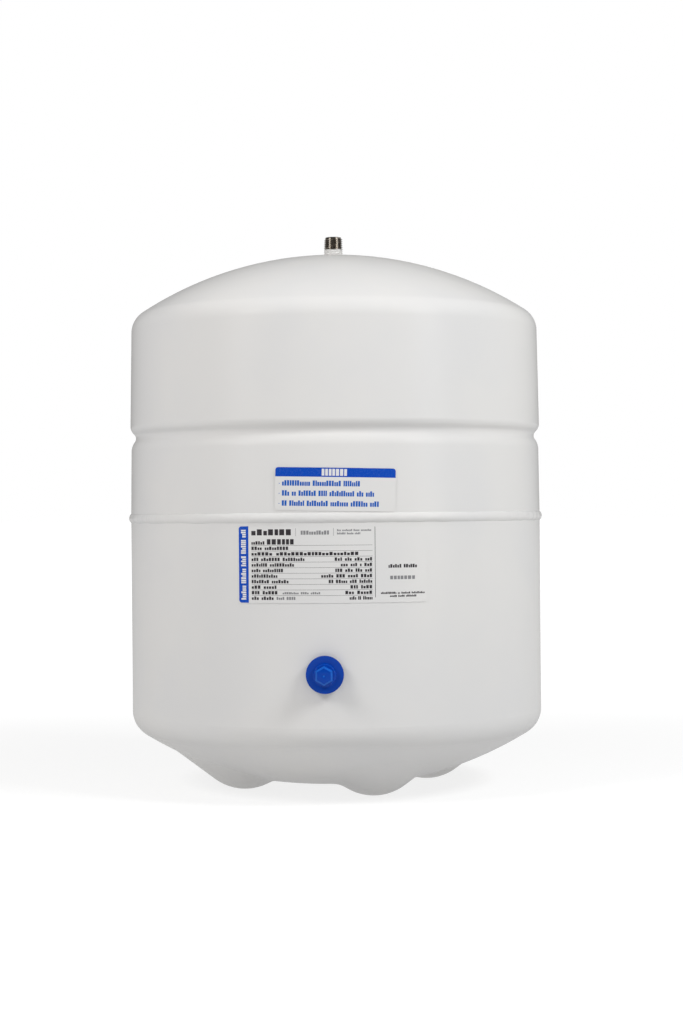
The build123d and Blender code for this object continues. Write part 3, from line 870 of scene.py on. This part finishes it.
for row, (end, words, start, reading) in enumerate(table):
    level = rule_top - row * rule_pitch
    lower_black.block(rule_left, level - rule_half, rule_right, level + rule_half)
    lower_black.line(rule_left, end, level - rule_pitch + row_lift, row_tall, words)
    if reading:
        lower_black.line(start, rule_right, level - rule_pitch + row_lift, row_tall, reading)
lower_black.block(27.2, -21.6, 27.5, 24.1)
lower_black.line(-52.8, -25.9, 18.9, 3.9, (7,))
lower_black.line(-52.8, -43.9, 12.9, 2.2, (6,))
lower_black.line(-42.6, -24.4, 12.9, 3.5, (6,), capitals=True)
lower_black.line(35.9, 54.7, -2.6, 2.3, (6, 6))
lower_black.line(30.9, 59.5, -19.5, 1.3, (12, 2, 7, 10))
lower_black.line(36.8, 54.0, -21.5, 1.3, (6, 5, 9))
lower_black.finish()
lower_grey = Print("lower_label_fields", *lower_place, ink_grey)
for divider in (-23.8, 0.65):
    lower_grey.block(divider - 0.1, 18.3, divider + 0.1, 23.4)
lower_grey.line(-20.5, -1.9, 19.2, 2.6, (11,))
lower_grey.line(2.9, 25.1, 21.3, 1.3, (3, 8, 5, 8))
lower_grey.line(2.9, 18.0, 19.2, 1.3, (7, 6, 5))
lower_grey.line(37.0, 53.6, -10.1, 2.3, (7,), capitals=True)
lower_grey.line(-32.5, -8.0, rule_top - 9 * rule_pitch + 0.8, 1.4, (9, 4, 5))
lower_grey.line(-36.5, -24.0, rule_top - 10 * rule_pitch + 0.8, 1.9, (4, 4))
lower_grey.finish()
film = white_paint("label_film", 0.2)
for label in ("upper_label", "lower_label"):
    dress(label, film)

# Inside: a liner of natural polypropylene, the butyl diaphragm pressed up against it and the
# rolled steel ring that clenches both into the groove. None of it shows from outside.
liner_white = (0.82, 0.83, 0.80, 1)
liner_shade = (0.76, 0.77, 0.74, 1)
butyl_black = (0.03, 0.03, 0.03, 1)
butyl_bloom = (0.07, 0.07, 0.07, 1)
butyl_grain = 0.8 * MM
ring_grey = (0.50, 0.50, 0.49, 1)
ring_dark = (0.38, 0.38, 0.38, 1)

liner = Finish("liner_plastic", Roughness=0.4)
liner.feed("Base Color", liner.mix(liner.noise(30 * MM), liner_white, liner_shade))
liner.bump((liner.noise(2 * MM), 0.02 * MM))
dress("water_liner", liner)
dress("diaphragm", rubber("diaphragm_rubber", butyl_black, butyl_bloom, butyl_grain))
rolled = Finish("rolled_steel", Metallic=1.0)
rolled.feed("Base Color", rolled.mix(rolled.noise(12 * MM, detail=4.0), ring_grey, ring_dark))
rolled.feed("Roughness", rolled.noise(4 * MM, detail=3.0) * 0.2 + 0.3)
dress("clench_ring", rolled)

# Floor and studio: a pale sheet that runs on to the horizon, two soft boxes in front of the
# tank on the left and the right, a weak one overhead and a pale surround. Gloss reflects a dark
# room with two tall white cards in it. The sheet throws back less light than it shows.
floor_size = 60.0
floor_seen = (0.32, 0.32, 0.32, 1)
floor_cast = (0.35, 0.35, 0.35, 1)
floor_glow = 0.36
floor_glow_near = 0.74
floor_glow_far = 1.0
glow_start = 0.25
glow_end = 1.3
surround_light = 0.38
room_dark = 0.10
card_left, card_left_glow = radians(-49), 4.0
card_right, card_right_glow = radians(56), 5.0
card_half = radians(8)
card_soft = radians(4)
card_top_start, card_top_end = 0.5, 0.75
box_distance = 1.6
box_warm = (1.0, 0.985, 0.975)
box_cool = (0.985, 0.995, 1.0)
box_plain = (1.0, 1.0, 1.0)

bpy.ops.object.select_all(action="DESELECT")
bpy.ops.mesh.primitive_plane_add(size=floor_size)
floor = bpy.context.object
floor.name = "floor"
sheet = Finish("floor_sheet", Roughness=0.9, Specular_IOR_Level=0.0, Emission_Strength=1.0)
seen = sheet.node("ShaderNodeLightPath", {}, {}, "Is Camera Ray")
reach = sheet.node("ShaderNodeVectorMath", {"operation": "LENGTH"}, {0: sheet.place}, "Value")
glow_seen = sheet.step(reach, glow_start, glow_end) * (floor_glow_far - floor_glow_near)
glow = seen * (floor_glow_near + glow_seen) + (1 - seen) * floor_glow
glows = {"Red": glow, "Green": glow, "Blue": glow}
sheet.feed("Base Color", sheet.mix(seen, floor_cast, floor_seen))
sheet.feed("Emission Color", sheet.node("ShaderNodeCombineColor", {}, glows))
floor.data.materials.append(sheet.material)

world = bpy.data.worlds.new("surround")
bpy.context.scene.world = world
world.use_nodes = True
world_tree = world.node_tree
straight = add_node(world_tree, "ShaderNodeLightPath", {}, {}, "Is Camera Ray")
mirrored = add_node(world_tree, "ShaderNodeLightPath", {}, {}, "Is Glossy Ray")
direction = add_node(world_tree, "ShaderNodeTexCoord", {}, {}, "Generated")
across, forth, above = (
    add_node(world_tree, "ShaderNodeSeparateXYZ", {}, {"Vector": direction}, side)
    for side in "XYZ"
)
turn = across.math("ARCTAN2", across, forth * -1)


def fade(value, full, gone, strength=1.0):
    """Full strength below one value and nothing above the other."""
    sockets = {
        "Value": value, "From Min": full, "From Max": gone, "To Min": strength, "To Max": 0.0
    }
    return add_node(
        world_tree, "ShaderNodeMapRange", {"interpolation_type": "SMOOTHSTEP"}, sockets
    )


reflected = room_dark
for card_turn, card_glow in ((card_left, card_left_glow), (card_right, card_right_glow)):
    off = turn - card_turn
    off = off.math("ABSOLUTE", off)
    card = fade(off, card_half - card_soft, card_half + card_soft, card_glow)
    reflected = card * fade(above, card_top_start, card_top_end) + reflected
strength = surround_light + mirrored * (reflected - surround_light)
strength = strength + straight * (1 - strength)
background = world_tree.nodes["Background"]
world_tree.links.new(strength.socket, background.inputs["Strength"])
background.inputs["Color"].default_value = (1.0, 1.0, 1.0, 1)


def soft_box(name, turn, rise, width, height, brightness, color):
    """A soft box aimed at the tank's middle: turned from the camera's side, and raised."""
    middle = Vector((0, 0, 200 * MM))
    turn, rise = radians(turn), radians(rise)
    towards = Vector((sin(turn) * cos(rise), -cos(turn) * cos(rise), sin(rise)))
    bpy.ops.object.light_add(type="AREA", location=middle + towards * box_distance)
    light = bpy.context.object
    light.name = name
    light.rotation_euler = towards.to_track_quat("Z", "Y").to_euler()
    light.data.shape = "RECTANGLE"
    light.data.size = width
    light.data.size_y = height
    light.data.energy = pi * width * height * brightness
    light.data.color = color
    light.visible_camera = False
    light.visible_glossy = False


soft_box("box_left", -46.5, 34, width=0.55, height=0.45, brightness=10.5, color=box_warm)
soft_box("box_right", 56, 36, width=0.5, height=0.45, brightness=16.5, color=box_cool)
soft_box("box_top", 0, 78, width=1.5, height=1.3, brightness=0.35, color=box_plain)

# Camera: solved from the tank's outline and three of its feet. It stands level, a little to
# the right of the valve, and leans by half a degree.
camera_distance = 1480 * MM
camera_turn = radians(2.95)
camera_height = 195.5 * MM
camera_lens = 72.92
camera_aim_height = 192.65 * MM
camera_aim_right = 4.3 * MM
camera_roll = radians(-0.462)

ahead = Vector((-sin(camera_turn), cos(camera_turn), 0))
right = Vector((cos(camera_turn), sin(camera_turn), 0))
camera_place = Vector((0, 0, camera_height)) - ahead * camera_distance
aim = Vector((0, 0, camera_aim_height)) + right * camera_aim_right
bpy.ops.object.camera_add(location=camera_place)
camera = bpy.context.object
camera.data.lens = camera_lens
look = (aim - camera_place).to_track_quat("-Z", "Y").to_matrix()
camera.rotation_euler = (look @ Matrix.Rotation(camera_roll, 3, "Z")).to_euler()
bpy.context.scene.camera = camera
bpy.context.scene.view_settings.view_transform = "Standard"
